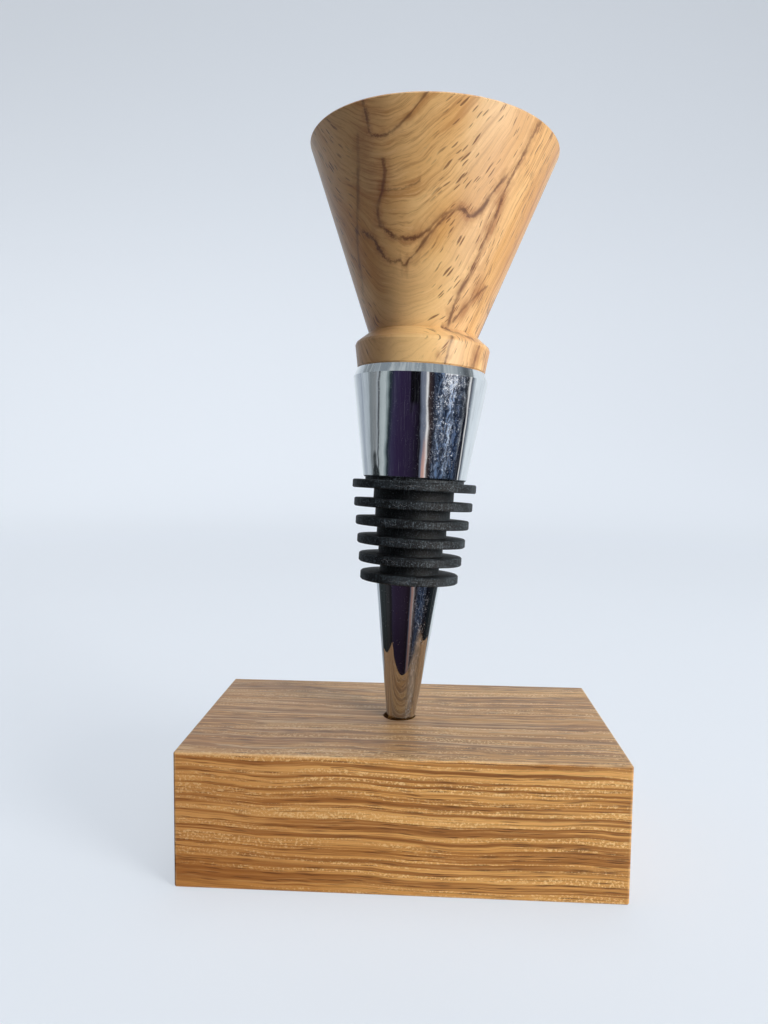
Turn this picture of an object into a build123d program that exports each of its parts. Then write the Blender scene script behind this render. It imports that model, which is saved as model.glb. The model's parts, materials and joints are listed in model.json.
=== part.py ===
from build123d import *
from math import acos, asin, atan2, cos, degrees, hypot, radians, sin, tan
import os

# A turned wooden bottle stopper standing in its oak block. Millimetres, +Z up.
# The origin is on the table, below the middle of the block. The block's long side lies along X.
# Every turned piece is drawn as a half section, radius against height, with the stopper's
# lowest point at height 0, and is leaned into the block's hole at the end.

# Stand block
block_length = 76.1
block_depth = 42.7
block_height = 23.6
block_edge_ease = 0.4

# Hole in the block
hole_diameter = 6.2
hole_depth = 5.7
hole_x = -0.85
hole_y = 0.15
drill_point_angle = 118.0

# Tip of the stopper body
tip_length = 33.2
tip_end_radius = 2.0
tip_shoulder_radius = 6.2
tip_shoulder_chamfer = 0.4

# Metal cone above the sleeve
cone_height = 18.65
cone_bottom_radius = 9.8
cone_widest_radius = 12.75
cone_bottom_chamfer = 0.3
chamfer_height = 1.6
chamfer_inset = 0.6

# Rubber sleeve
fin_count = 6
fin_pitch = 3.45
fin_thickness = 1.62
fin_edge_chamfer = 0.2
lowest_fin_radius = 9.32
fin_radius_step = 0.486
lowest_core_radius = 5.65
core_radius_step = 0.5
sleeve_wall = 1.6
sleeve_ring_radius = 9.4
sleeve_ring_height = 0.45

# Wooden handle
collar_bottom_radius = 12.03
collar_top_radius = 12.75
collar_height = 4.6
neck_radius = 10.25
bevel_height = 2.1
handle_cone_height = 34.4
rim_radius = 23.25
handle_edge_chamfer = 0.3

# Stud between the body and the handle
stud_diameter = 8.0
stud_in_body = 12.0
stud_in_handle = 13.0
stud_chamfer = 0.8
stud_end_room = 0.6

# Clearance where one piece sits on, in or around another
fit_clearance = 0.02

# Boxes and cylinders stand on their own bottom face
on_bottom = (Align.CENTER, Align.CENTER, Align.MIN)

# Direction of the lean, from +X towards +Y
lean_heading = 45.0

# Heights up the stopper
sleeve_bottom = tip_length + fit_clearance
sleeve_top = sleeve_bottom + (fin_count - 1) * fin_pitch + fin_thickness + sleeve_ring_height
cone_bottom = sleeve_top + fit_clearance
chamfer_bottom = cone_bottom + cone_height
body_top = chamfer_bottom + chamfer_height
handle_bottom = body_top + fit_clearance
bevel_bottom = handle_bottom + collar_height
neck = bevel_bottom + bevel_height
handle_top = neck + handle_cone_height

# Tapered shank of the metal body inside the sleeve
shank_bottom_radius = lowest_core_radius - sleeve_wall
shank_top_radius = shank_bottom_radius + (fin_count - 1) * core_radius_step


def corner(profile, radius, height):
    return profile.vertices().sort_by_distance((radius, height, 0))[0]


def from_axis(radius, bottom, height):
    return Pos(0, bottom) * Rectangle(radius, height, align=Align.MIN)


def turned(profile):
    return revolve(Plane.XZ * profile, Axis.Z)


def drilled_hole(diameter, depth):
    # A drilled hole that opens at height 0 and runs down to the cone of the drill's point.
    point_depth = diameter / 2 / tan(radians(drill_point_angle / 2))
    section = Polyline(
        (0, 0),
        (diameter / 2, 0),
        (diameter / 2, -depth),
        (0, -depth - point_depth),
        close=True,
    )
    return turned(make_face(section))


def tip_cone_angle():
    # Half angle of the straight flank, which runs from the shoulder and touches the round end.
    along = tip_length - tip_end_radius
    reach = hypot(tip_shoulder_radius, along)
    return degrees(atan2(tip_shoulder_radius, along) - asin(tip_end_radius / reach))


def make_stopper_body():
    round_end = CenterArc((0, tip_end_radius), tip_end_radius, -90, 90 - tip_cone_angle())
    outline = Polyline(
        round_end @ 1,
        (tip_shoulder_radius, tip_length),
        (shank_bottom_radius, tip_length),
        (shank_top_radius, cone_bottom),
        (cone_bottom_radius, cone_bottom),
        (cone_widest_radius, chamfer_bottom),
        (cone_widest_radius - chamfer_inset, body_top),
        (0, body_top),
        (0, 0),
    )
    profile = make_face([round_end, outline])
    profile = chamfer(corner(profile, tip_shoulder_radius, tip_length), tip_shoulder_chamfer)
    profile = chamfer(corner(profile, cone_bottom_radius, cone_bottom), cone_bottom_chamfer)
    stud_hole = drilled_hole(stud_diameter + 2 * fit_clearance, stud_in_body + stud_end_room)
    return turned(profile) - Pos(0, 0, body_top) * stud_hole


def make_seal_sleeve():
    # Each fin has its own length of core above it, a step wider than the one below.
    profile = Sketch()
    for index in range(fin_count):
        bottom = sleeve_bottom + index * fin_pitch
        fin_radius = lowest_fin_radius + index * fin_radius_step
        fin = from_axis(fin_radius, bottom, fin_thickness)
        for height in (bottom, bottom + fin_thickness):
            fin = chamfer(corner(fin, fin_radius, height), fin_edge_chamfer)
        profile += fin
        if index < fin_count - 1:
            core_radius = lowest_core_radius + index * core_radius_step
            profile += from_axis(core_radius, bottom, fin_pitch + fin_thickness / 2)
    ring_height = sleeve_ring_height + fin_thickness / 2
    profile += from_axis(sleeve_ring_radius, sleeve_top - ring_height, ring_height)
    bore = Polyline(
        (0, tip_length),
        (shank_bottom_radius + fit_clearance, tip_length),
        (shank_top_radius + fit_clearance, cone_bottom),
        (0, cone_bottom),
        close=True,
    )
    return turned(profile - make_face(bore))


def make_handle():
    section = Polyline(
        (0, handle_bottom),
        (collar_bottom_radius, handle_bottom),
        (collar_top_radius, bevel_bottom),
        (neck_radius, neck),
        (rim_radius, handle_top),
        (0, handle_top),
        close=True,
    )
    profile = make_face(section)
    for radius, height in [
        (collar_bottom_radius, handle_bottom),
        (collar_top_radius, bevel_bottom),
        (rim_radius, handle_top),
    ]:
        profile = chamfer(corner(profile, radius, height), handle_edge_chamfer)
    stud_hole = drilled_hole(stud_diameter + 2 * fit_clearance, stud_in_handle + stud_end_room)
    return turned(profile) - Pos(0, 0, handle_bottom) * Rot(180, 0, 0) * stud_hole


def make_stud():
    stud = Cylinder(stud_diameter / 2, stud_in_body + stud_in_handle, align=on_bottom)
    stud = chamfer(stud.edges().filter_by(GeomType.CIRCLE), stud_chamfer)
    return Pos(0, 0, handle_bottom - stud_in_body) * stud


def make_stand_block():
    block = Box(block_length, block_depth, block_height, align=on_bottom)
    block = fillet(block.edges(), block_edge_ease)
    return block - Pos(hole_x, hole_y, block_height) * drilled_hole(hole_diameter, hole_depth)


def leaned(piece):
    # The round end sits in the drill point, or higher if the flank wedges in the hole first.
    # The stopper then leans until its flank touches the hole's rim.
    flank_angle = radians(tip_cone_angle())
    hole_radius = hole_diameter / 2
    half_point = radians(drill_point_angle / 2)
    end_radius = tip_end_radius + fit_clearance
    point_height = block_height - hole_depth - hole_radius / tan(half_point)
    centre_on_point = point_height + end_radius / sin(half_point)
    centre_when_wedged = block_height - (hole_radius - end_radius / cos(flank_angle)) / tan(flank_angle)
    centre_height = max(centre_on_point, centre_when_wedged)
    below_rim = block_height - centre_height
    flank_to_vertical = acos(end_radius / hypot(hole_radius, below_rim)) - atan2(below_rim, hole_radius)
    lean = degrees(flank_to_vertical - flank_angle)
    place = Pos(hole_x, hole_y, centre_height) * Rot(0, 0, lean_heading) * Rot(0, lean, 0)
    return place * Pos(0, 0, -tip_end_radius) * piece


pieces = {
    "stand_block": make_stand_block(),
    "stopper_body": leaned(make_stopper_body()),
    "seal_sleeve": leaned(make_seal_sleeve()),
    "threaded_stud": leaned(make_stud()),
    "handle": leaned(make_handle()),
}

os.makedirs("parts", exist_ok=True)
for name, solid in pieces.items():
    export_step(solid, f"parts/{name}.step")
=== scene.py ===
import json
import math
import random

import bpy
from mathutils import Matrix, Vector


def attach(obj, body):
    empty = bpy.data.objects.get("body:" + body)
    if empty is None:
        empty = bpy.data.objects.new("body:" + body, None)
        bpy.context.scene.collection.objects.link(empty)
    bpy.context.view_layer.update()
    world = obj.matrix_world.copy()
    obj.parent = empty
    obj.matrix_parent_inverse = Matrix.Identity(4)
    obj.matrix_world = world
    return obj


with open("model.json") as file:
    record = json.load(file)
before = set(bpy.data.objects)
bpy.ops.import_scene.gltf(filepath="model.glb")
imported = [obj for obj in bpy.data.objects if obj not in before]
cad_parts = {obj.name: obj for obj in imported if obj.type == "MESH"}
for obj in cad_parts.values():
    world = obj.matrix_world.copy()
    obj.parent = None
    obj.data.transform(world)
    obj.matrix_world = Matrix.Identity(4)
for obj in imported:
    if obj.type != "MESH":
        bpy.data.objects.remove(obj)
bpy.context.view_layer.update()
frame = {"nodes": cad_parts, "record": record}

# The looks of a turned wooden bottle stopper in its oak block. Scene units are metres.
# Every pattern is drawn in millimetres, in the block's axes or in the stopper's own, which are
# right, front and up its leaning middle line, with height 0 at the neck under the wooden cone.
# Colours are written from 0 to 255, as they look on a screen, or from 0 to 1 as linear light.

MM = 0.001
PER_DEGREE = math.pi / 180

# The camera, as it stood in the photograph
CAMERA_PLACE = Vector((3.61, -146.39, 73.92)) * MM
CAMERA_PITCH = 4.363
CAMERA_ROLL = 0.605
CAMERA_YAW = 3.059
FOCAL_PIXELS = 780.0
PHOTO_HEIGHT = 1024
SENSOR = 36.0

# The fins, from the neck and the middle line
FIN_LOWEST = -45.5
FIN_PITCH = 3.45
FIN_LOWEST_RADIUS = 9.32
FIN_RADIUS_STEP = 0.486

# The lint on the fins: degrees off the front, number of the fin from the lowest, and length
LINT_RADIUS = 0.018
LINT_OFF_RIM = 0.05
LINT_LIFT = 0.03
LINT_ARCH = 0.10
LINT_STEPS = 8
LINT_CORNERS = 3
LINT = [
    (-16, 5, 2.4), (-9, 5, 1.8), (-4, 5, 2.6), (9, 5, 1.4), (-17, 4, 1.6), (-10, 4, 1.2), (-30, 3, 1.4),
    (-21, 3, 1.6), (-24, 2, 1.4), (-8, 2, 1.0), (-30, 1, 1.8), (-25, 1, 2.0), (-14, 0, 2.2),
    (-10, 0, 1.8), (-22, 0, 1.4), (4, 0, 1.2),
]

# The handle's cone, and how far its flank runs for each millimetre of height
NECK_RADIUS = 10.25
RIM_RADIUS = 23.25
CONE_HEIGHT = 34.4
ALONG_FLANK = math.hypot(1, (RIM_RADIUS - NECK_RADIUS) / CONE_HEIGHT)

# The block, and the middle of the rings in its wood, from the block's own middle and foot
BLOCK_LENGTH = 76.1
BLOCK_DEPTH = 42.7
BLOCK_HEIGHT = 23.6
OAK_RINGS_BACK = -60.0
OAK_RINGS_UP = -75.0
OAK_PORE_LENGTH = 5.5
OAK_PORE_WIDTH = 0.34

# The handle's growth layers face this many degrees off the front, and lean by this much
BEECH_LAYER_TURN = -22
BEECH_LAYER_LEAN = 0.12

# The hidden stud's thread
THREAD_PITCH = 1.25

# The pale floor sweeps up into a wall, in metres
SWEEP_REACH = 3.0
SWEEP_BACK = 1.1
SWEEP_BEND = 0.5
SWEEP_TOP = 3.0
SWEEP_STEPS = 16

# The round room that shows only in reflections, in metres
ROOM_RADIUS = 0.25
ROOM_HEIGHT = 0.21
ROOM_FLOOR = 0.0004
ROOM_SIDES = 96

# The lamps: name, place, aim, width and height in metres, watts, colour, and spread in degrees
LAMPS = [
    ("window", (1.23, -0.83, 0.37), (0, 0, 0.07), 0.70, 0.70, 2.9, (1.0, 0.97, 0.92), 50),
    ("ceiling", (0.1, 0.15, 1.1), (0, 0, 0.05), 0.9, 0.9, 6.5, (0.95, 0.97, 1.0), 180),
]

# The stopper's middle line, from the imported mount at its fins, which points down the line
NECK_ABOVE_FINS = 36.88
fins_mount = next(m for m in frame["record"]["mounts"] if m["name"] == "bottle_neck")
axis_up = -Vector(fins_mount["axis"]).normalized()
fins_middle = Vector(fins_mount["pos_m"])
axis_right = axis_up.cross((0, -1, 0)).normalized()
axis_front = axis_right.cross(axis_up)
neck_place = fins_middle + axis_up * NECK_ABOVE_FINS * MM


class Shader:
    """The node tree of a material or world, with short calls for the nodes that are used."""

    def __init__(self, name, world=None):
        self.material = world or bpy.data.materials.new(name)
        self.material.use_nodes = True
        self.tree = self.material.node_tree
        self.tree.nodes.clear()

    def put(self, socket, value):
        if isinstance(value, bpy.types.NodeSocket):
            self.tree.links.new(value, socket)
        else:
            socket.default_value = value

    def node(self, kind, inputs=(), **settings):
        made = self.tree.nodes.new("ShaderNode" + kind)
        for key, value in settings.items():
            setattr(made, key, value)
        for name, value in dict(inputs).items():
            self.put(made.inputs[name], value)
        return made

    def math(self, operation, *values):
        made = self.node("Math", operation=operation)
        for socket, value in zip(made.inputs, values):
            self.put(socket, value)
        return made.outputs[0]

    def add(self, *values):
        total = values[0]
        for value in values[1:]:
            total = self.math("ADD", total, value)
        return total

    def times(self, *values):
        total = values[0]
        for value in values[1:]:
            total = self.math("MULTIPLY", total, value)
        return total

    def minus(self, value, taken):
        return self.math("SUBTRACT", value, taken)

    def size(self, value):
        return self.math("ABSOLUTE", value)

    def length(self, first, second):
        squares = self.add(self.times(first, first), self.times(second, second))
        return self.math("SQRT", squares)

    def combine(self, x, y, z):
        return self.node("CombineXYZ", {"X": x, "Y": y, "Z": z}).outputs[0]

    def split(self, vector):
        return self.node("SeparateXYZ", {"Vector": vector}).outputs

    def along(self, position, direction, start=0.0):
        dot = self.node("VectorMath", operation="DOT_PRODUCT")
        self.put(dot.inputs[0], position)
        self.put(dot.inputs[1], tuple(direction))
        return self.minus(dot.outputs["Value"], start)

    def position(self):
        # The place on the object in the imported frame, in millimetres.
        place = self.node("TexCoord").outputs["Object"]
        scaled = self.node("VectorMath", operation="SCALE")
        self.put(scaled.inputs[0], place)
        scaled.inputs["Scale"].default_value = 1 / MM
        return scaled.outputs[0]

    def stopper_place(self):
        # The same place from the neck, in the stopper's own axes: right, front and up.
        place = self.position()
        return [
            self.along(place, axis, neck_place.dot(axis) / MM)
            for axis in (axis_right, axis_front, axis_up)
        ]

    def noise(self, vector, scale=1.0, detail=2.0, roughness=0.5, distortion=0.0):
        inputs = {
            "Vector": vector,
            "Scale": scale,
            "Detail": detail,
            "Roughness": roughness,
            "Distortion": distortion,
        }
        return self.node("TexNoise", inputs).outputs[0]

    def cells(self, vector):
        # Distance to the nearest cell's middle, and a random number for each cell.
        inputs = {"Vector": vector, "Scale": 1.0, "Randomness": 1.0}
        made = self.node("TexVoronoi", inputs)
        return made.outputs["Distance"], self.split(made.outputs["Color"])[0]

    def between(self, value, low, high, to_low=0.0, to_high=1.0, smooth=True):
        # Eases from to_low to to_high as value goes from low to high.
        kind = "SMOOTHSTEP" if smooth else "LINEAR"
        inputs = {
            "Value": value,
            "From Min": low,
            "From Max": high,
            "To Min": to_low,
            "To Max": to_high,
        }
        return self.node("MapRange", inputs, interpolation_type=kind).outputs[0]

    def mix(self, factor, first, second):
        made = self.node("Mix", data_type="RGBA")
        self.put(made.inputs[0], factor)
        self.put(made.inputs[6], first)
        self.put(made.inputs[7], second)
        return made.outputs[2]

    def curve(self, value, low, high, points):
        # A smooth function of value through the points, whose first numbers run from low to high.
        heights = [p[1] for p in points]
        bottom, top = min(heights), max(heights)
        made = self.node("FloatCurve")
        self.put(made.inputs["Value"], self.between(value, low, high, smooth=False))
        line = made.mapping.curves[0]
        for index, (along, across) in enumerate(points):
            spot = ((along - low) / (high - low), (across - bottom) / (top - bottom))
            if index < 2:
                line.points[index].location = spot
            else:
                line.points.new(*spot)
        made.mapping.update()
        return self.math("MULTIPLY_ADD", made.outputs[0], top - bottom, bottom)

    def bump(self, height, distance, under=None):
        inputs = {"Height": height, "Distance": distance * MM, "Strength": 1.0}
        made = self.node("Bump", inputs)
        if under is not None:
            self.put(made.inputs["Normal"], under)
        return made.outputs[0]

    def seen(self):
        # 1 to the camera and to mirrors and glass, and 0 to the light that bounces about.
        path = self.node("LightPath").outputs
        total = self.add(path["Is Camera Ray"], path["Is Glossy Ray"], path["Is Transmission Ray"])
        return self.math("MINIMUM", total, 1.0)

    def finish(self, color, roughness, normal=None, **settings):
        shader = self.node("BsdfPrincipled")
        self.put(shader.inputs["Base Color"], color)
        self.put(shader.inputs["Roughness"], roughness)
        if normal is not None:
            self.put(shader.inputs["Normal"], normal)
        for name, value in settings.items():
            self.put(shader.inputs[name.replace("_", " ")], value)
        output = self.node("OutputMaterial")
        self.put(output.inputs["Surface"], shader.outputs[0])
        return self.material


def srgb(red, green, blue):
    # A colour as it looks on a screen, from 0 to 255, turned into linear light.
    def linear(level):
        level = level / 255
        return level / 12.92 if level <= 0.04045 else ((level + 0.055) / 1.055) ** 2.4

    return (linear(red), linear(green), linear(blue), 1.0)


# Zone lines of the spalted handle: half width, darkness and points. Those that run round the
# cone go from degrees off the front to millimetres above the neck, and those that run up it
# the other way round.
ROUND_LINES = {
    "top_bowl": (0.30, 0.75, [
        (-31, 31.0), (-29, 29.3), (-25, 28.8), (-20, 29.0), (-12, 30.8), (-6, 33.0), (-2, 34.8),
    ]),
    "short_branch": (0.24, 0.50, [(-27, 21.6), (-22, 21.0), (-17, 21.0), (-11, 21.3), (-5, 22.4)]),
    "wandering": (0.38, 0.85, [
        (-29, 16.4), (-25, 14.7), (-19, 13.9), (-9, 13.7), (-1, 14.8), (7, 17.0), (14, 18.1),
        (19, 18.5), (23, 17.6), (29, 18.7), (34, 21.6), (40, 24.8),
    ]),
    "low_bowl": (0.36, 0.85, [
        (-46, 15.8), (-38, 14.2), (-31, 11.3), (-24, 10.2), (-19, 10.3), (-16, 9.6), (-12, 10.6),
        (-9, 11.1), (-3, 13.0), (4, 15.3), (11, 17.4),
    ]),
    "groove": (0.30, 0.80, [(18, 0.3), (24, -0.3), (35, -0.9), (50, -1.4)]),
}
RISING_LINES = {
    "top_bowl_side": (0.42, 0.75, [(29.4, -30), (31.5, -30), (34.8, -32)]),
    "knot_side": (0.42, 0.70, [
        (15.4, -28), (17.9, -31), (19.7, -29), (21.4, -26), (24.5, -24), (25.8, -25),
    ]),
    "left_faint": (0.50, 0.50, [(7.0, -61), (13.5, -54), (20.5, -44), (26.7, -38), (30.0, -36)]),
    "right_long": (0.40, 0.80, [
        (0.0, 25), (2.5, 26), (5.3, 28), (9.8, 35), (14.3, 38), (19.2, 41), (22.8, 42), (28.0, 46),
        (34.8, 50),
    ]),
    "right_low": (0.42, 0.60, [(1.0, 29), (2.8, 34), (5.3, 43), (8.3, 56)]),
    "collar": (0.34, 0.80, [(-6.7, 20.5), (-4.5, 22), (-1.6, 25)]),
    "collar_right": (0.45, 0.60, [(-6.7, 50), (-4.5, 52), (-2.4, 54)]),
}

# Brown stains on the handle: degrees off the front, height, reach and darkness. They are longer
# up the flank, where a millimetre counts for less.
STAIN_SHORTENING = math.sqrt(0.45)
STAINS = [
    (-27, 21.4, 1.9, 1.00),
    (-27, 21.4, 0.9, 1.00),
    (-33, 28.5, 4.0, 0.55),
    (-30, 23.0, 5.0, 0.45),
    (-24, 31.5, 3.0, 0.30),
    (-20, 6.0, 6.0, 0.15),
    (20, 18.3, 2.2, 0.45),
    (41, 21.0, 2.6, 0.75),
    (40, 17.0, 2.2, 0.70),
    (48, 6.6, 2.6, 0.75),
    (38, 3.4, 1.8, 0.55),
    (52, -4.4, 2.0, 0.70),
    (14, -5.2, 0.9, 0.65),
    (66, -4.0, 1.6, 0.50),
]


def beech_finish():
    """Spalted beech: even layers cut into bowls by the cone, ray flecks, dark wandering lines."""
    s = Shader("handle_spalted_beech")
    right, front, height = s.stopper_place()
    own = s.combine(right, front, height)
    turn = s.math("ARCTAN2", right, front)
    degrees = s.times(turn, 1 / PER_DEGREE)
    radius = s.length(right, front)
    per_degree = s.times(radius, PER_DEGREE)

    # Growth layers face a little left of the front, and bend gently.
    layer_turn = math.radians(BEECH_LAYER_TURN)
    facing_layer = Vector((math.sin(layer_turn), math.cos(layer_turn), BEECH_LAYER_LEAN))
    layer_normal = facing_layer.normalized()
    level = Vector((math.cos(layer_turn), -math.sin(layer_turn), 0))
    upright = level.cross(layer_normal)
    sway = s.minus(s.noise(own, scale=0.055, detail=2.0), 0.5)
    wrinkle = s.minus(s.noise(own, scale=0.30, detail=2.0), 0.5)
    layer = s.add(s.along(own, layer_normal), s.times(sway, 5.0), s.times(wrinkle, 0.35))
    across = s.along(own, level)
    upward = s.along(own, upright)

    def sheets(layer_scale, reach_scale, detail, roughness):
        # Noise drawn out along the layers, so that it shows as the lines where they are cut.
        stretched = s.combine(
            s.times(layer, layer_scale), s.times(across, reach_scale), s.times(upward, reach_scale * 0.5)
        )
        return s.noise(stretched, detail=detail, roughness=roughness)

    broad = sheets(0.22, 0.04, 2.0, 0.5)
    rings = sheets(0.95, 0.05, 4.0, 0.65)
    hairs = sheets(4.2, 0.12, 4.0, 0.75)
    blotch = s.noise(own, scale=0.10, detail=3.0, roughness=0.6)
    grit = s.noise(own, scale=2.2, detail=2.0, roughness=0.7)

    pale = srgb(240, 194, 130)
    honey = srgb(216, 158, 86)
    amber = srgb(186, 122, 58)
    color = s.mix(s.between(broad, 0.36, 0.66), pale, honey)
    color = s.mix(s.times(s.between(rings, 0.50, 0.68), 0.55), color, amber)
    color = s.mix(s.times(s.between(blotch, 0.52, 0.72), 0.30), color, srgb(200, 134, 68))
    color = s.mix(s.times(s.between(hairs, 0.50, 0.64), 0.44), color, srgb(164, 100, 44))
    color = s.mix(s.times(s.between(hairs, 0.45, 0.33), 0.42), color, srgb(250, 210, 154))

    # The flat top is cut across the layers, so what runs up the flank stops near the rim.
    on_top = s.between(height, CONE_HEIGHT - 0.2, CONE_HEIGHT - 0.02)
    inner = s.times(on_top, s.between(radius, RIM_RADIUS - 0.8, RIM_RADIUS - 3.5))
    on_flank = s.minus(1.0, inner)
    right_side = s.times(s.between(degrees, 12, 36), s.between(degrees, 176, 130), on_flank)
    painted_shade_left = s.times(s.between(degrees, -8, -34), s.between(degrees, -176, -130), on_flank)

    # Streaks run up the right side. The left is painted browner as painted shade, and a strip right of the
    # front is painted paler as a painted sheen.
    streaks = s.times(s.between(sheets(1.9, 0.07, 3.0, 0.7), 0.50, 0.62), right_side)
    color = s.mix(s.times(streaks, 0.50), color, srgb(176, 112, 54))
    color = s.mix(s.times(painted_shade_left, 0.36), color, srgb(172, 98, 44))
    # Painted sheen: a paler strip right of the front, where the lamp's reflection falls.
    painted_sheen = s.times(s.between(degrees, 6, 24), s.between(degrees, 60, 40), on_flank)
    color = s.mix(s.times(painted_sheen, 0.30), color, srgb(240, 208, 170))
    low_front = s.times(s.between(height, 16, 6), s.between(s.size(degrees), 44, 18))
    color = s.mix(s.times(low_front, 0.50), color, srgb(252, 210, 146))
    color = s.mix(s.times(s.between(grit, 0.55, 0.80), 0.16), color, srgb(150, 98, 54))

    # Short flecks lie in the layers. Where the cut runs along a layer they would be wide, so
    # they fade out there.
    steep = s.between(s.size(s.minus(degrees, BEECH_LAYER_TURN)), 14, 34)
    steep = s.math("MAXIMUM", steep, on_top)
    flecks = 0.0
    for thickness, length, share, depth in ((0.36, 3.4, 0.15, 0.85), (0.24, 2.2, 0.24, 0.75)):
        spot = s.combine(
            s.times(layer, 1 / thickness), s.times(across, 1 / length), s.times(upward, 1 / length)
        )
        distance, draw = s.cells(spot)
        dash = s.times(s.between(distance, 0.42, 0.24), s.math("LESS_THAN", draw, share), depth)
        flecks = dash if flecks == 0.0 else s.math("MAXIMUM", flecks, dash)
    flecks = s.times(flecks, steep, s.between(s.noise(own, scale=0.10), 0.26, 0.44))
    color = s.mix(flecks, color, srgb(116, 68, 34))

    # Dark zone lines, with a ragged edge and a brown halo.
    ragged = s.minus(s.noise(own, scale=1.5, detail=4.0, roughness=0.7), 0.5)
    rough_degrees = s.math("MULTIPLY_ADD", ragged, 3.6, degrees)
    rough_height = s.math("MULTIPLY_ADD", ragged, 1.3, height)
    swell = s.between(s.noise(own, scale=0.55, detail=2.0), 0.30, 0.70, 0.45, 1.55, smooth=False)
    fade = s.between(s.noise(own, scale=0.35, detail=3.0), 0.30, 0.60, 0.45, 1.0)

    def traced(points, along, across_line, along_size, across_size, width, depth):
        low, high = points[0][0], points[-1][0]
        step = (high - low) * 0.02
        middle = s.curve(along, low, high, points)
        ahead = s.curve(s.add(along, step), low, high, points)
        rise = s.times(s.minus(ahead, middle), across_size)
        rise = s.math("DIVIDE", rise, s.times(along_size, step))
        steepness = s.math("SQRT", s.add(s.times(rise, rise), 1.0))
        gap = s.size(s.times(s.minus(across_line, middle), across_size))
        gap = s.math("DIVIDE", gap, s.times(steepness, swell))
        inside = s.times(
            s.between(along, low - step, low + 2 * step),
            s.between(along, high + step, high - 2 * step),
        )
        core = s.times(s.between(gap, width * 1.15, width * 0.1), inside, depth)
        halo = s.times(s.between(gap, width * 4.0, width * 0.4), inside, depth * 0.55)
        return core, halo

    lines = [
        traced(points, rough_degrees, rough_height, per_degree, ALONG_FLANK, width, depth)
        for width, depth, points in ROUND_LINES.values()
    ]
    lines += [
        traced(points, rough_height, rough_degrees, ALONG_FLANK, per_degree, width, depth)
        for width, depth, points in RISING_LINES.values()
    ]
    cores, halos = lines[0]
    for core, halo in lines[1:]:
        cores = s.math("MAXIMUM", cores, core)
        halos = s.math("MAXIMUM", halos, halo)

    # The same lines go on round the back and over the top, where they follow the layers.
    cores = s.times(cores, on_flank)
    halos = s.times(halos, on_flank)
    drift = sheets(0.11, 0.05, 3.0, 0.55)
    away = s.math("MAXIMUM", s.between(s.size(degrees), 62, 80), inner)
    off_line = s.size(s.minus(drift, 0.5))
    cores = s.math("MAXIMUM", cores, s.times(s.between(off_line, 0.009, 0.002), away, 0.8))
    halos = s.math("MAXIMUM", halos, s.times(s.between(off_line, 0.035, 0.004), away, 0.4))

    # Brown stains, darkest in their middles, and broken up by the hair lines.
    stains = 0.0
    for angle, level_up, reach, depth in STAINS:
        sideways = s.times(s.minus(degrees, angle), per_degree)
        upways = s.minus(height, level_up)
        off = s.length(sideways, s.times(upways, STAIN_SHORTENING))
        stain = s.times(s.between(off, reach, 0.0), depth)
        stains = stain if stains == 0.0 else s.math("MAXIMUM", stains, stain)
    stains = s.times(stains, s.between(hairs, 0.34, 0.62, 0.45, 1.0), on_flank)
    color = s.mix(stains, color, srgb(148, 86, 40))
    color = s.mix(s.times(halos, fade), color, srgb(160, 98, 50))
    color = s.mix(s.times(cores, fade), color, srgb(98, 54, 32))

    # Turning marks run round the piece.
    ridges = s.noise(s.combine(s.times(height, 3.2), s.times(radius, 3.2), s.times(turn, 0.5)), detail=2.0)
    relief = s.add(s.times(ridges, 0.35), s.times(hairs, 0.65), s.times(flecks, -0.6))
    normal = s.bump(relief, 0.04)
    roughness = s.between(hairs, 0.2, 0.8, 0.36, 0.50)
    return s.finish(color, roughness, normal, IOR=1.5, Coat_Weight=0.35, Coat_Roughness=0.28)


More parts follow.
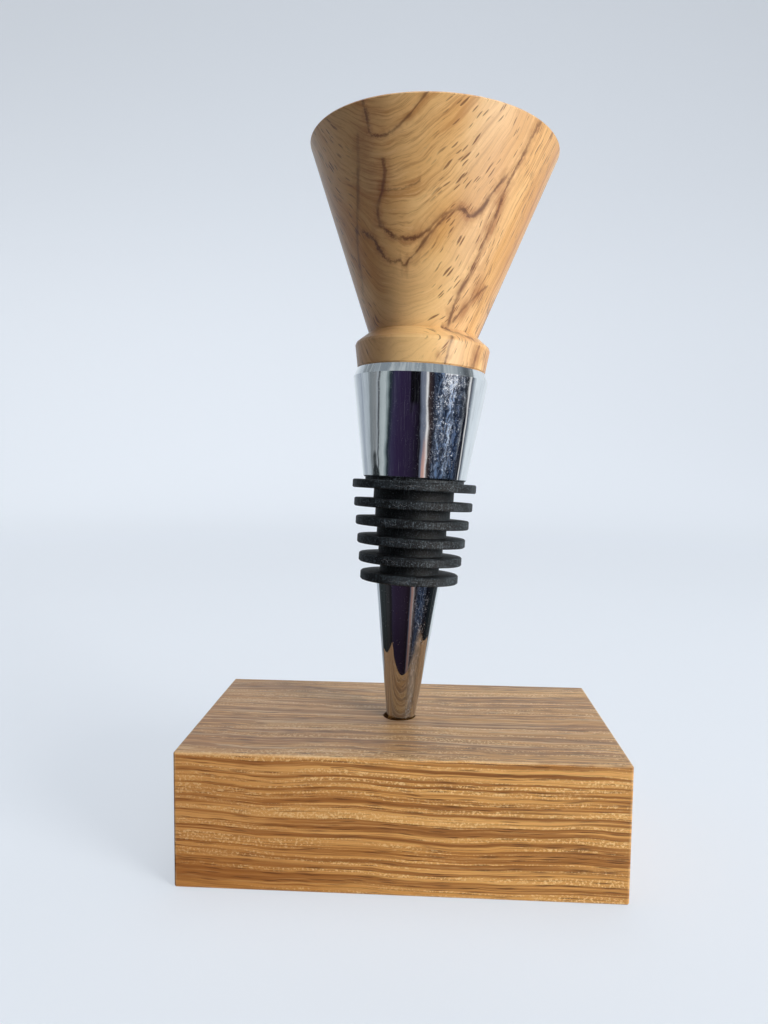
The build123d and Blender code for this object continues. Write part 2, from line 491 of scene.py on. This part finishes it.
def oak_finish():
    """Oak sawn with its grain along the block: even layers, open pores, pale glints."""
    s = Shader("block_oak")
    place = s.position()
    x, y, z = s.split(place)

    def drift(along_scale, across_scale, reach):
        stretched = s.combine(s.times(x, along_scale), s.times(y, across_scale), s.times(z, across_scale))
        return s.times(s.minus(s.noise(stretched, detail=2.0), 0.5), reach)

    # The layers are rings round a middle far below and in front of the block.
    across = s.minus(y, OAK_RINGS_BACK)
    above = s.minus(z, OAK_RINGS_UP)
    ring = s.length(across, above)
    ring = s.add(ring, drift(0.018, 0.02, 4.0), drift(0.055, 0.12, 1.3), drift(0.16, 0.30, 0.4))
    turn = s.times(s.math("ARCTAN2", across, above), 100.0)

    def lines(ring_scale, along_scale, turn_scale, detail, roughness):
        stretched = s.combine(s.times(x, along_scale), s.times(ring, ring_scale), s.times(turn, turn_scale))
        return s.noise(stretched, detail=detail, roughness=roughness)

    broad = lines(0.14, 0.008, 0.02, 2.0, 0.5)
    bands = lines(1.30, 0.012, 0.03, 3.0, 0.6)
    hair = lines(5.2, 0.09, 5.2, 4.0, 0.7)
    threads = lines(3.2, 0.030, 0.5, 3.0, 0.7)

    color = s.mix(s.between(broad, 0.34, 0.66), srgb(230, 174, 102), srgb(208, 148, 76))
    color = s.mix(s.times(s.between(bands, 0.47, 0.57), 0.80), color, srgb(160, 101, 45))
    color = s.mix(s.times(s.between(bands, 0.56, 0.66), 0.50), color, srgb(118, 67, 27))
    color = s.mix(s.times(s.between(threads, 0.50, 0.66), 0.60), color, srgb(130, 80, 36))
    color = s.mix(s.times(s.between(threads, 0.46, 0.32), 0.45), color, srgb(236, 188, 122))
    color = s.mix(s.times(s.between(hair, 0.50, 0.70), 0.65), color, srgb(108, 64, 28))

    # Pores crowd the dark bands as long fine dashes.
    pore_field = s.combine(
        s.times(x, 1 / OAK_PORE_LENGTH),
        s.times(ring, 1 / OAK_PORE_WIDTH),
        s.times(turn, 1 / OAK_PORE_WIDTH),
    )
    distance, draw = s.cells(pore_field)
    open_share = s.between(bands, 0.40, 0.58, 0.15, 0.80)
    pores = s.times(s.between(distance, 0.44, 0.18), s.math("LESS_THAN", draw, open_share))
    color = s.mix(s.times(pores, 0.60), color, srgb(82, 46, 20))

    # Pale glints stand in rows along the light bands, but not on the end grain. The block is
    # painted darker and browner towards its left end, away from the lamp, as painted shade.
    rows = s.times(s.between(lines(0.85, 0.03, 0.2, 2.0, 0.5), 0.42, 0.52), s.between(bands, 0.56, 0.46))
    off_end = s.between(s.size(x), BLOCK_LENGTH / 2 - 0.1, BLOCK_LENGTH / 2 - 1.0)
    glints = s.times(s.between(lines(2.6, 2.4, 2.0, 3.0, 0.6), 0.49, 0.61), rows, off_end)
    color = s.mix(s.times(glints, 0.75), color, srgb(252, 216, 156))
    color = s.mix(s.between(x, 16, -38, 0.0, 0.40), color, srgb(150, 88, 34))

    # The upper face is painted greyer, as a painted sheen of grazing reflection, and the eased edges are
    # painted paler.
    upper = s.between(z, BLOCK_HEIGHT - 0.30, BLOCK_HEIGHT - 0.02)
    painted_top_sheen = s.mix(0.28, color, srgb(170, 150, 124))
    color = s.mix(upper, color, painted_top_sheen)
    color = s.mix(s.times(upper, pores, 0.55), color, srgb(84, 60, 42))
    color = s.mix(s.times(upper, s.between(threads, 0.50, 0.36), 0.42), color, srgb(228, 202, 166))
    beyond_end = s.minus(s.size(x), BLOCK_LENGTH / 2)
    beyond_face = s.minus(s.size(y), BLOCK_DEPTH / 2)
    beyond_top = s.minus(z, BLOCK_HEIGHT)
    least = s.math("MINIMUM", s.math("MINIMUM", beyond_end, beyond_face), beyond_top)
    off_edge = s.minus(s.add(beyond_end, beyond_face, beyond_top), least)
    # The eased edges are painted paler, broken up by noise.
    paler_edges = s.times(s.between(off_edge, -0.60, -0.15), s.between(s.noise(place, scale=0.5), 0.30, 0.60))
    color = s.mix(s.times(paler_edges, 0.35), color, srgb(236, 204, 156))

    relief = s.add(s.times(hair, 0.4), s.times(pores, -0.9), s.times(bands, 0.25))
    normal = s.bump(relief, 0.05)
    roughness = s.math("MULTIPLY_ADD", glints, -0.12, s.between(hair, 0.2, 0.8, 0.38, 0.54))
    return s.finish(color, roughness, normal, IOR=1.5)


def chrome_finish():
    """Bright plating, with dried spots and dust that lie thickest right of the front."""
    s = Shader("chrome_plating")
    place = s.position()
    right, front, height = s.stopper_place()
    turn = s.times(s.math("ARCTAN2", right, front), 1 / PER_DEGREE)
    touched = s.times(s.between(turn, 9, 18), s.between(turn, 47, 41), s.between(height, -8.2, -8.6))
    patches = s.noise(place, scale=0.28, detail=3.0, roughness=0.65)
    flakes = s.noise(place, scale=3.0, detail=4.0, roughness=0.75, distortion=0.8)
    specks = s.noise(place, scale=6.5, detail=1.0)
    cover = s.times(s.between(patches, 0.36, 0.60, 0.4, 1.0), s.math("MULTIPLY_ADD", touched, 0.070, 0.060))
    spots = s.between(s.add(flakes, cover), 0.64, 0.74)
    dust = s.times(s.between(s.add(specks, cover), 0.68, 0.76), 0.6)
    marks = s.math("MAXIMUM", spots, dust)
    smear = s.times(s.between(patches, 0.46, 0.66), s.math("MULTIPLY_ADD", touched, 0.85, 0.15))
    roughness = s.add(0.02, s.times(smear, 0.02), s.times(marks, 0.28))
    runs = s.combine(s.times(turn, 0.34), s.times(height, 0.55), 0.0)
    film = s.noise(runs, detail=4.0, roughness=0.75, distortion=0.7)
    dull = s.times(s.between(film, 0.45, 0.52), touched)
    color = s.mix(s.times(dull, 0.88), (0.85, 0.86, 0.87, 1.0), (0.05, 0.07, 0.11, 1.0))
    color = s.mix(s.times(marks, 0.50), color, (0.80, 0.83, 0.88, 1.0))

    # The tip mirrors the wood below it, and its colour is painted darker there, as painted shade.
    color = s.mix(s.between(height, -50, -60, 0.0, 0.7), color, (0.40, 0.38, 0.36, 1.0))
    waves = s.bump(s.noise(place, scale=0.20, detail=1.0), 0.05)
    normal = s.bump(s.times(film, touched), 0.022, under=waves)
    return s.finish(color, roughness, normal, Metallic=1.0)


def rubber_finish():
    """Matte black rubber with pale dust, painted at less than half strength in the grooves between the
    fins, so these are darker than the rims.
    """
    s = Shader("seal_rubber")
    place = s.position()
    right, front, height = s.stopper_place()
    turn = s.math("ARCTAN2", right, front)
    radius = s.length(right, front)
    rim = s.between(radius, 8.0, 9.2, 0.45, 1.0)
    grain = s.noise(place, scale=3.0, detail=3.0, roughness=0.7)
    film = s.noise(place, scale=0.30, detail=3.0, roughness=0.6)
    specks = s.noise(place, scale=4.2, detail=3.0, roughness=0.75)
    streaks = s.noise(s.combine(s.times(turn, 26.0), s.times(height, 0.5), 0.0), detail=3.0, roughness=0.7)
    dust = s.add(
        s.times(s.between(film, 0.42, 0.70), 0.16),
        s.times(s.between(specks, 0.55, 0.64), 0.95),
        s.times(s.between(streaks, 0.56, 0.68), 0.60),
    )
    color = s.mix(s.times(dust, rim), srgb(6, 8, 11), srgb(92, 102, 110))
    normal = s.bump(grain, 0.05)
    roughness = s.between(grain, 0.2, 0.8, 0.48, 0.70)
    return s.finish(color, roughness, normal, IOR=1.5, Specular_IOR_Level=0.3)


def steel_finish():
    """Turned steel for the hidden stud, with its thread drawn as ridges."""
    s = Shader("stud_steel")
    place = s.position()
    height = s.stopper_place()[2]
    thread = s.math("SINE", s.times(height, 2 * math.pi / THREAD_PITCH))
    normal = s.bump(thread, 0.3)
    tone = s.mix(s.noise(place, scale=1.2, detail=3.0), (0.42, 0.42, 0.44, 1.0), (0.60, 0.60, 0.62, 1.0))
    return s.finish(tone, 0.34, normal, Metallic=1.0)


def lint_finish():
    s = Shader("pale_lint")
    tone = s.mix(s.noise(s.position(), scale=0.8), srgb(112, 114, 118), srgb(170, 172, 176))
    return s.finish(tone, 0.8)


def add_lint():
    # Fine pale fibres caught on the rims of the fins. Each is a bent thread of few sides.
    draw = random.Random(7)
    vertices, faces = [], []
    for angle, fin, length in LINT:
        fin_height = FIN_LOWEST + fin * FIN_PITCH
        reach = FIN_LOWEST_RADIUS + fin * FIN_RADIUS_STEP + LINT_OFF_RIM
        heading = draw.uniform(-1.2, 1.2)
        bend = -2 * heading + draw.uniform(-0.3, 0.3)
        sideways, upways = math.radians(angle) * reach, fin_height
        first = len(vertices)
        for step in range(LINT_STEPS + 1):
            turn = sideways / reach
            out = axis_right * math.sin(turn) + axis_front * math.cos(turn)
            lift = reach + LINT_ARCH * math.sin(math.pi * step / LINT_STEPS) + LINT_LIFT
            middle = neck_place + (out * lift + axis_up * upways) * MM
            for corner in range(LINT_CORNERS):
                spin = 2 * math.pi * corner / LINT_CORNERS
                nudge = (out * math.cos(spin) + axis_up * math.sin(spin)) * LINT_RADIUS
                vertices.append(middle + nudge * MM)
            heading += bend / LINT_STEPS
            sideways += math.cos(heading) * length / LINT_STEPS
            upways += math.sin(heading) * length / LINT_STEPS
        faces += tube_faces(first, LINT_STEPS, LINT_CORNERS)
    lint = new_mesh("lint", vertices, faces, lint_finish())
    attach(lint, "root")


def dress(node, material):
    mesh = frame["nodes"][node].data
    mesh.materials.clear()
    mesh.materials.append(material)


def tube_faces(first, steps, corners):
    # Faces between rings of corners that follow each other in a list of vertices, from first on.
    faces = []
    for step in range(steps):
        low = first + corners * step
        high = low + corners
        for corner in range(corners):
            after = (corner + 1) % corners
            faces.append((low + corner, low + after, high + after, high + corner))
    return faces


def new_mesh(name, vertices, faces, material):
    mesh = bpy.data.meshes.new(name)
    mesh.from_pydata([tuple(v) for v in vertices], [], faces)
    mesh.update()
    made = bpy.data.objects.new(name, mesh)
    bpy.context.scene.collection.objects.link(made)
    mesh.materials.append(material)
    return made


def add_camera():
    pitch, roll, yaw = (math.radians(a) for a in (CAMERA_PITCH, CAMERA_ROLL, CAMERA_YAW))
    level_right = Vector((math.cos(yaw), math.sin(yaw), 0))
    level_ahead = Vector((-math.sin(yaw), math.cos(yaw), 0))
    ahead = math.cos(pitch) * level_ahead - math.sin(pitch) * Vector((0, 0, 1))
    above = level_right.cross(ahead)
    right = math.cos(roll) * level_right + math.sin(roll) * above
    up = math.cos(roll) * above - math.sin(roll) * level_right
    data = bpy.data.cameras.new("camera")
    data.sensor_width = SENSOR
    data.lens = FOCAL_PIXELS / PHOTO_HEIGHT * SENSOR
    data.clip_start = 0.01
    data.clip_end = 20
    camera = bpy.data.objects.new("camera", data)
    turned = Matrix((right, up, -ahead)).transposed().to_4x4()
    camera.matrix_world = Matrix.Translation(CAMERA_PLACE) @ turned
    bpy.context.scene.collection.objects.link(camera)
    bpy.context.scene.camera = camera


def paper_finish():
    """Pale paper for the floor and wall. To the eye it glows a little, so that it stays even."""
    s = Shader("pale_paper")
    mottle = s.times(s.noise(s.position(), scale=0.01, detail=2.0), 0.05)
    color = s.mix(mottle, srgb(160, 165, 171), srgb(142, 148, 155))
    x, y, height = s.split(s.position())
    up_wall = s.between(height, 0, 150, 0.56, 0.66)
    far_off = s.between(s.length(x, y), 300, 900, 0.56, 0.69)
    glow = s.minus(s.math("MAXIMUM", up_wall, far_off), s.between(height, 200, 800, 0.0, 0.11))

    # In front of the object, under the lamp, the paper reflects little and glows more instead.
    in_front = s.between(y, -250, -700)
    color = s.mix(in_front, color, srgb(34, 35, 37))
    glow = s.times(s.seen(), s.math("MULTIPLY_ADD", in_front, 0.16, glow))
    pale = srgb(236, 243, 252)
    return s.finish(color, 0.8, Specular_IOR_Level=0.0, Emission_Color=pale, Emission_Strength=glow)


def add_backdrop():
    # A pale floor that sweeps up into a wall behind the object.
    outline = [(-SWEEP_REACH, 0.0)]
    for index in range(SWEEP_STEPS + 1):
        angle = math.pi / 2 * index / SWEEP_STEPS
        back = SWEEP_BACK - SWEEP_BEND + SWEEP_BEND * math.sin(angle)
        outline.append((back, SWEEP_BEND - SWEEP_BEND * math.cos(angle)))
    outline.append((SWEEP_BACK, SWEEP_TOP))
    vertices = [Vector((side * SWEEP_REACH, y, z)) for y, z in outline for side in (-1, 1)]
    faces = [(2 * i, 2 * i + 1, 2 * i + 3, 2 * i + 2) for i in range(len(outline) - 1)]
    sweep = new_mesh("backdrop", vertices, faces, paper_finish())
    for polygon in sweep.data.polygons:
        polygon.use_smooth = True


# What the plating mirrors round the object: degrees from the front, positive to the right,
# against the colour there. The bands lean in towards the front as they rise.
SURROUNDINGS = [
    (-180, (230, 238, 245)),
    (-166, (206, 216, 224)),
    (-144, (158, 168, 180)),
    (-133, (182, 192, 201)),
    (-120, (170, 180, 188)),
    (-114, (122, 130, 134)),
    (-99, (136, 141, 144)),
    (-95, (162, 170, 176)),
    (-92, (40, 42, 48)),
    (-88, (166, 176, 179)),
    (-77, (180, 190, 193)),
    (-72, (130, 144, 147)),
    (-67, (34, 46, 52)),
    (-58, (52, 48, 74)),
    (-44, (44, 34, 62)),
    (-12, (38, 30, 52)),
    (7, (16, 12, 22)),
    (11, (104, 112, 130)),
    (17, (122, 128, 142)),
    (20, (240, 240, 240)),
    (23, (66, 54, 52)),
    (30, (34, 32, 40)),
    (41, (92, 116, 150)),
    (64, (128, 156, 196)),
    (84, (80, 102, 138)),
    (96, (26, 30, 44)),
    (105, (22, 24, 34)),
    (108, (250, 251, 252)),
    (111, (70, 74, 86)),
    (117, (150, 160, 170)),
    (124, (226, 236, 243)),
    (140, (222, 232, 240)),
    (180, (230, 238, 245)),
]
LEAN_IN = 0.33
LEAN_FROM = 14
LEAN_REACH = 66

# A colour ramp holds only 32 colours, so the list is shared by two, which meet at this entry
MEETING = 15


def room_colors(s, turn, z):
    """The colour of the upright bands, and the direction as their lean and sway bend it."""
    upright = s.combine(s.times(turn, 0.16), s.times(z, 0.012), 0.0)
    shake = s.minus(s.noise(upright, detail=3.0, roughness=0.6), 0.5)
    lean = s.between(z, LEAN_FROM, LEAN_FROM + LEAN_REACH, 0, LEAN_IN * LEAN_REACH, smooth=False)
    slant = s.add(s.between(turn, -14, 4, -1.0, 0.6), s.between(turn, 40, 80, 0.0, 0.4))
    bent = s.add(turn, s.times(shake, 4.0), s.times(lean, slant))
    ramps = []
    for group in (SURROUNDINGS[:MEETING + 1], SURROUNDINGS[MEETING:]):
        low, high = group[0][0], group[-1][0]
        ramp = s.node("ValToRGB", {"Fac": s.between(bent, low, high, smooth=False)})
        stops = ramp.color_ramp.elements
        stops.remove(stops[-1])
        for index, (degrees, shade) in enumerate(group):
            spot = (degrees - low) / (high - low)
            stop = stops[0] if index == 0 else stops.new(spot)
            stop.position = spot
            stop.color = srgb(*shade)
        ramps.append(ramp.outputs[0])
    border = SURROUNDINGS[MEETING][0]
    return s.mix(s.math("GREATER_THAN", bent, border), ramps[0], ramps[1]), bent


def room_finish():
    s = Shader("mirrored_room")
    x, y, z = s.split(s.position())
    turn = s.times(s.math("ARCTAN2", x, s.times(y, -1.0)), 1 / PER_DEGREE)
    color, bent = room_colors(s, turn, z)

    # Upright streaks break up the blue part, and a window stands above its near half.
    streaks = s.noise(s.combine(s.times(turn, 0.17), s.times(z, 0.008), 0.0), detail=3.0, roughness=0.7)
    blue_part = s.times(s.between(bent, 30, 41), s.between(bent, 104, 94))
    color = s.mix(s.times(blue_part, s.between(streaks, 0.48, 0.56), 0.95), color, srgb(12, 15, 28))
    color = s.mix(s.times(blue_part, s.between(streaks, 0.44, 0.36), 0.90), color, srgb(236, 244, 252))
    window = s.times(s.between(turn, 38, 44), s.between(turn, 70, 62), s.between(z, 49, 52))
    color = s.mix(window, color, srgb(250, 252, 255))

    # A warm patch stands low beside the front.
    warm = s.times(s.between(turn, 11, 14), s.between(turn, 21, 18), s.between(z, 28, 10))
    color = s.mix(s.times(warm, 0.7), color, srgb(222, 168, 148))

    # A black board hangs high in front, and fine upright streaks run through everything.
    board = s.times(s.between(turn, -16, -13), s.between(turn, 1, -1), s.between(z, 42, 46))
    color = s.mix(board, color, srgb(10, 9, 12))
    fine = s.noise(s.combine(s.times(turn, 0.55), s.times(z, 0.03), 0.0), detail=3.0, roughness=0.8)
    color = s.mix(s.times(s.between(fine, 0.52, 0.64), 0.30), color, srgb(46, 46, 60))
    color = s.mix(s.times(s.between(fine, 0.46, 0.34), 0.06), color, srgb(214, 222, 230))

    # The foot of the room is dark to the sides, and rises in a hump on the left.
    off_front = s.size(turn)
    hump = s.between(s.size(s.add(turn, 95)), 32, 0, 0.0, 37.0)
    low = s.between(s.minus(z, hump), 9, 3)
    foot = s.times(low, s.between(off_front, 58, 66), s.between(off_front, 136, 128))
    color = s.mix(s.times(foot, 0.92), color, srgb(22, 28, 30))
    shade = s.times(s.between(z, 6, 2), s.between(s.length(x, y), 215, 190), s.between(off_front, 100, 80))
    color = s.mix(s.times(shade, 0.55), color, srgb(34, 26, 30))

    # The ceiling is a cloudy grey, darker to both sides just above the wall.
    cloud = s.noise(s.position(), scale=0.02, detail=4.0, roughness=0.65)
    cloudy = s.mix(s.between(cloud, 0.38, 0.62), srgb(130, 140, 148), srgb(180, 188, 192))
    color = s.mix(s.between(z, 208, 214), color, cloudy)
    ledge = s.times(s.between(z, 206, 210), s.between(z, 252, 226))
    ledge = s.times(ledge, s.between(off_front, 48, 82), s.between(off_front, 122, 92))
    color = s.mix(s.times(ledge, 0.85), color, srgb(34, 40, 48))
    glow = s.node("Emission", {"Color": color, "Strength": 1.0})
    output = s.node("OutputMaterial")
    s.put(output.inputs["Surface"], glow.outputs[0])
    return s.material


def add_surroundings():
    # A small round room that only mirrors see. It gives the plating dark and pale bands.
    middle = 0.0001
    vertices = []
    profile = [
        (middle, ROOM_FLOOR),
        (ROOM_RADIUS, ROOM_FLOOR),
        (ROOM_RADIUS, ROOM_HEIGHT),
        (middle, ROOM_HEIGHT + ROOM_RADIUS),
    ]
    for ring_radius, ring_height in profile:
        for index in range(ROOM_SIDES):
            angle = 2 * math.pi * index / ROOM_SIDES
            spot = (ring_radius * math.sin(angle), -ring_radius * math.cos(angle), ring_height)
            vertices.append(Vector(spot))
    faces = tube_faces(0, len(profile) - 1, ROOM_SIDES)
    bowl = new_mesh("mirrored_room", vertices, faces, room_finish())
    bowl.visible_camera = False
    bowl.visible_diffuse = False
    bowl.visible_shadow = False
    bowl.visible_transmission = False
    bowl.visible_volume_scatter = False


def add_lamp(name, place, aim, width, height, watts, color, spread):
    data = bpy.data.lights.new(name, "AREA")
    data.spread = math.radians(spread)
    data.shape = "RECTANGLE"
    data.size = width
    data.size_y = height
    data.energy = watts
    data.color = color
    lamp = bpy.data.objects.new(name, data)
    lamp.location = place
    lamp.rotation_mode = "QUATERNION"
    lamp.rotation_quaternion = (Vector(aim) - Vector(place)).to_track_quat("-Z", "Y")
    bpy.context.scene.collection.objects.link(lamp)


def add_light():
    # The world gives a soft even light, and looks pale to the eye and to mirrors.
    world = bpy.data.worlds.new("studio")
    s = Shader("studio_air", world)
    color = s.mix(s.seen(), (0.18, 0.19, 0.205, 1.0), srgb(206, 214, 224))
    air = s.node("Background", {"Color": color, "Strength": 1.0})
    s.put(s.node("OutputWorld").inputs["Surface"], air.outputs[0])
    bpy.context.scene.world = world
    for lamp in LAMPS:
        add_lamp(*lamp)


dress("handle", beech_finish())
dress("stand_block", oak_finish())
dress("stopper_body", chrome_finish())
dress("seal_sleeve", rubber_finish())
dress("threaded_stud", steel_finish())
add_lint()
add_camera()
add_backdrop()
add_surroundings()
add_light()
bpy.context.scene.view_settings.view_transform = "Standard"
